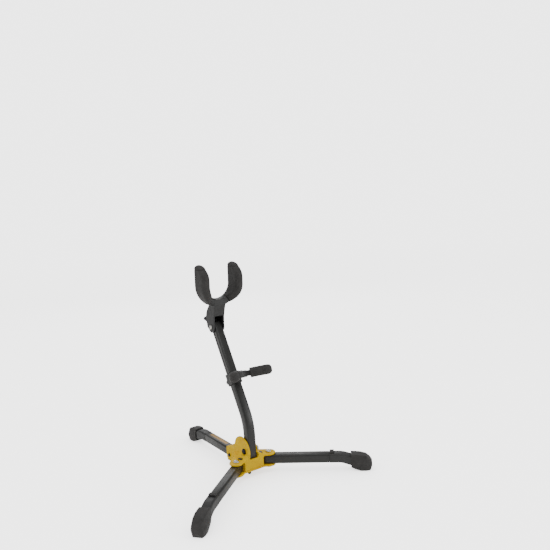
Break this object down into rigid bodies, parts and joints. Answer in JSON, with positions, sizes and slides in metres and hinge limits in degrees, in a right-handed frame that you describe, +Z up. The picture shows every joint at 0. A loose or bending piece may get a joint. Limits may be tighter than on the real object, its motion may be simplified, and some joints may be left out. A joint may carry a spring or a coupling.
{
  "type": "saxophone stand",
  "caption": "Folding three-legged floor stand for an alto or tenor saxophone, with a leaning mast, a sliding padded lower rest and a U-shaped rubber bell yoke.",
  "frame": {"origin": "on the floor, under the middle of the footprint", "axes": "-Y faces the side where the saxophone body goes, +X is to the right of someone looking from the front leg side towards the rear leg, +Z is up"},
  "size_m": [0.3864, 0.3923, 0.4051],
  "materials": {
    "black_paint": "satin black powder coat on steel",
    "yellow_casting": "satin yellow powder coat",
    "rubber": "matt moulded black rubber",
    "black_plastic": "fine-textured moulded black nylon",
    "plated_steel": "bright zinc or nickel plating",
    "black_steel": "black oxide on steel"
  },
  "bodies": {
    "base": {"base_screw_front": "black_steel", "base_screw_rear_left": "black_steel", "base_screw_rear_right": "black_steel", "hub_base_plate": "yellow_casting", "hub_housing": "yellow_casting", "left_leg_pivot_bolt": "plated_steel", "left_leg_pivot_nut": "plated_steel", "mast_pivot_bolt": "black_steel", "mast_pivot_nut": "plated_steel", "rear_foot": "rubber", "rear_leg_elbow": "black_plastic", "rear_leg_end_plug": "black_plastic", "rear_leg_screw_left": "black_steel", "rear_leg_screw_right": "black_steel", "rear_leg_tube": "black_paint", "right_leg_pivot_bolt": "plated_steel", "right_leg_pivot_nut": "plated_steel"},
    "left_leg": {"left_leg_tube": "black_paint", "left_leg_end_plug": "black_plastic", "left_leg_elbow": "black_plastic", "left_foot": "rubber", "left_leg_bumper": "rubber"},
    "right_leg": {"right_leg_tube": "black_paint", "right_leg_end_plug": "black_plastic", "right_leg_elbow": "black_plastic", "right_foot": "rubber", "right_leg_bumper": "rubber"},
    "left_button": {"left_leg_lock_button": "black_plastic"},
    "right_button": {"right_leg_lock_button": "black_plastic"},
    "mast": {"mast_tube": "black_paint", "mast_foot_plug": "black_plastic", "mast_top_plug": "black_plastic"},
    "lower_rest": {"rest_collar": "black_plastic", "rest_pivot_bolt": "plated_steel", "rest_pivot_nut": "plated_steel"},
    "height_knob": {"rest_height_knob": "black_plastic"},
    "rest_cradle": {"rest_arm": "black_paint", "left_rest_rubber": "rubber", "right_rest_rubber": "rubber", "left_rest_cap": "rubber", "right_rest_cap": "rubber"},
    "yoke": {"yoke_bracket": "black_plastic", "yoke_arch": "black_paint", "left_yoke_rubber": "rubber", "right_yoke_rubber": "rubber", "left_yoke_cap": "rubber", "right_yoke_cap": "rubber", "yoke_pivot_bolt": "plated_steel", "yoke_pivot_nut": "plated_steel", "yoke_plunger_spring": "plated_steel"},
    "yoke_plunger": {"yoke_lock_plunger": "black_steel"}
  },
  "joints": [
    {"name": "left_leg_fold", "type": "hinge", "parent": "base", "child": "left_leg", "pos_m": [-0.03639, -0.06003, 0.025], "axis": [0, 0, -1], "range_deg": [0, 130]},
    {"name": "right_leg_fold", "type": "hinge", "parent": "base", "child": "right_leg", "pos_m": [0.03639, -0.06003, 0.025], "axis": [0, 0, 1], "range_deg": [0, 130]},
    {"name": "left_button_press", "type": "slide", "parent": "base", "child": "left_button", "axis": [0, 0, -1], "range_m": [0, 0.002], "stiffness_N_per_m": 400},
    {"name": "right_button_press", "type": "slide", "parent": "base", "child": "right_button", "axis": [0, 0, -1], "range_m": [0, 0.002], "stiffness_N_per_m": 400},
    {"name": "mast_fold", "type": "hinge", "parent": "base", "child": "mast", "pos_m": [0, -0.0535, 0.05], "axis": [-1, 0, 0], "range_deg": [0, 60]},
    {"name": "rest_height", "type": "slide", "parent": "mast", "child": "lower_rest", "axis": [0, 0.5, 0.866], "range_m": [-0.035, 0.035]},
    {"name": "height_knob_turn", "type": "hinge", "parent": "lower_rest", "child": "height_knob", "pos_m": [0, -0.0085, 0.18044], "axis": [0, 0.866, -0.5], "range_deg": [0, 360]},
    {"name": "rest_tilt", "type": "hinge", "parent": "lower_rest", "child": "rest_cradle", "pos_m": [0, -0.02842, 0.19194], "axis": [1, 0, 0], "range_deg": [-20, 20]},
    {"name": "yoke_fold", "type": "hinge", "parent": "mast", "child": "yoke", "pos_m": [0, 0.04725, 0.277], "axis": [1, 0, 0], "range_deg": [0, 90]},
    {"name": "yoke_plunger_pull", "type": "slide", "parent": "yoke", "child": "yoke_plunger", "axis": [0, 0.9781, 0.2083], "range_m": [0, 0.005], "stiffness_N_per_m": 600}
  ]
}
